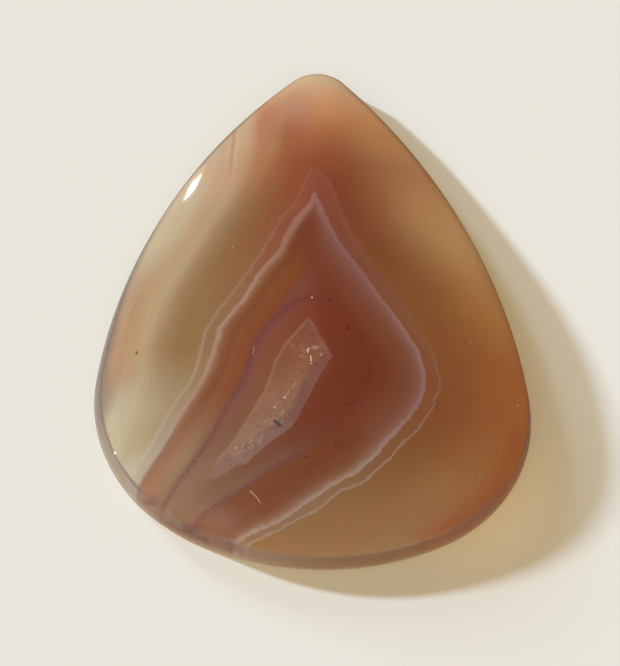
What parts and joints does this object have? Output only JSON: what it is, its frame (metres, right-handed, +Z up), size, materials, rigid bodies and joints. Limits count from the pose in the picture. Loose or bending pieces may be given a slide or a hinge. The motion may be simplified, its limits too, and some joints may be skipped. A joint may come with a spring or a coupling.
{
  "type": "agate cabochon",
  "caption": "Pear-shaped agate cabochon: a polished, banded stone with a flat back, a narrow girdle and a low dome, to set in a bezel or keep loose.",
  "frame": {"origin": "under the middle of the outline, on the flat back that the stone rests on", "axes": "+Y along the stone to its pointed tip, +X across it, +Z up through the dome"},
  "size_m": [0.03, 0.04, 0.0055],
  "materials": {
    "agate": "polished"
  },
  "bodies": {
    "root": {"cabochon": "agate"}
  },
  "joints": []
}
